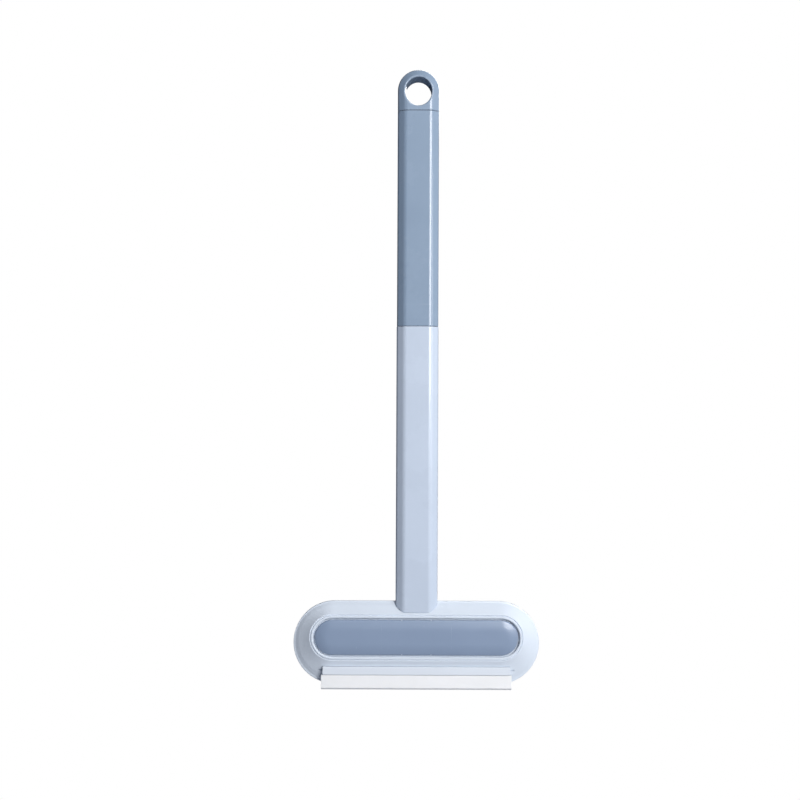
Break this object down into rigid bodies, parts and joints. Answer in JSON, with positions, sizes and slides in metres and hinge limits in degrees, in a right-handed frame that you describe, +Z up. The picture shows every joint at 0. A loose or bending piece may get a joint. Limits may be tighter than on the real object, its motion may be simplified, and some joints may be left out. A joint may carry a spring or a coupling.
{
  "type": "lint brush with squeegee",
  "caption": "Long-handled hand brush: a stadium-shaped head with an inset front panel, a window squeegee along its lower edge, a lint pad on the back and a two-part handle with a hanging hole.",
  "frame": {"origin": "centre of the hanging hole at the top of the handle, on the handle's middle plane", "axes": "+Z up along the handle, -Y the front face with the panel and the squeegee, +Y the back with the lint pad, +X to the right seen from the front"},
  "size_m": [0.1856, 0.0233, 0.4664],
  "materials": {
    "grip_plastic": "satin grey-blue ABS",
    "pole_plastic": "satin pale grey-blue ABS",
    "shell_plastic": "satin pale grey-blue ABS",
    "panel_plastic": "fine satin grey-blue ABS",
    "holder_plastic": "smooth pale polypropylene",
    "inner_plastic": "plain moulded, unseen",
    "blade_rubber": "milky white silicone",
    "foam": "closed foam sheet",
    "nap_fabric": "short directional lint nap",
    "screw_steel": "zinc plated"
  },
  "bodies": {
    "grip": {"hang_cap": "grip_plastic", "cap_screw": "screw_steel", "grip_tube": "grip_plastic", "handle_coupler": "inner_plastic", "coupler_screw": "screw_steel"},
    "head": {"pole_tube": "pole_plastic", "pole_screw": "screw_steel", "neck_insert": "inner_plastic", "head_front_shell": "shell_plastic", "front_panel": "panel_plastic", "head_back_shell": "shell_plastic", "shell_screw_1": "screw_steel", "shell_screw_2": "screw_steel", "shell_screw_3": "screw_steel", "shell_screw_4": "screw_steel", "neck_screw_1": "screw_steel", "neck_screw_2": "screw_steel"},
    "squeegee": {"squeegee_holder": "holder_plastic", "squeegee_blade": "blade_rubber"},
    "lint_pad": {"pad_carrier": "inner_plastic", "pad_foam": "foam", "pad_nap": "nap_fabric"}
  },
  "joints": [
    {"name": "handle_pull_apart", "type": "slide", "parent": "grip", "child": "head", "axis": [0, 0, -1], "range_m": [0, 0.05]},
    {"name": "squeegee_pull_out", "type": "slide", "parent": "head", "child": "squeegee", "axis": [0, -1, 0], "range_m": [0, 0.012]},
    {"name": "pad_lift_off", "type": "slide", "parent": "head", "child": "lint_pad", "axis": [0, 1, 0], "range_m": [0, 0.012]}
  ]
}
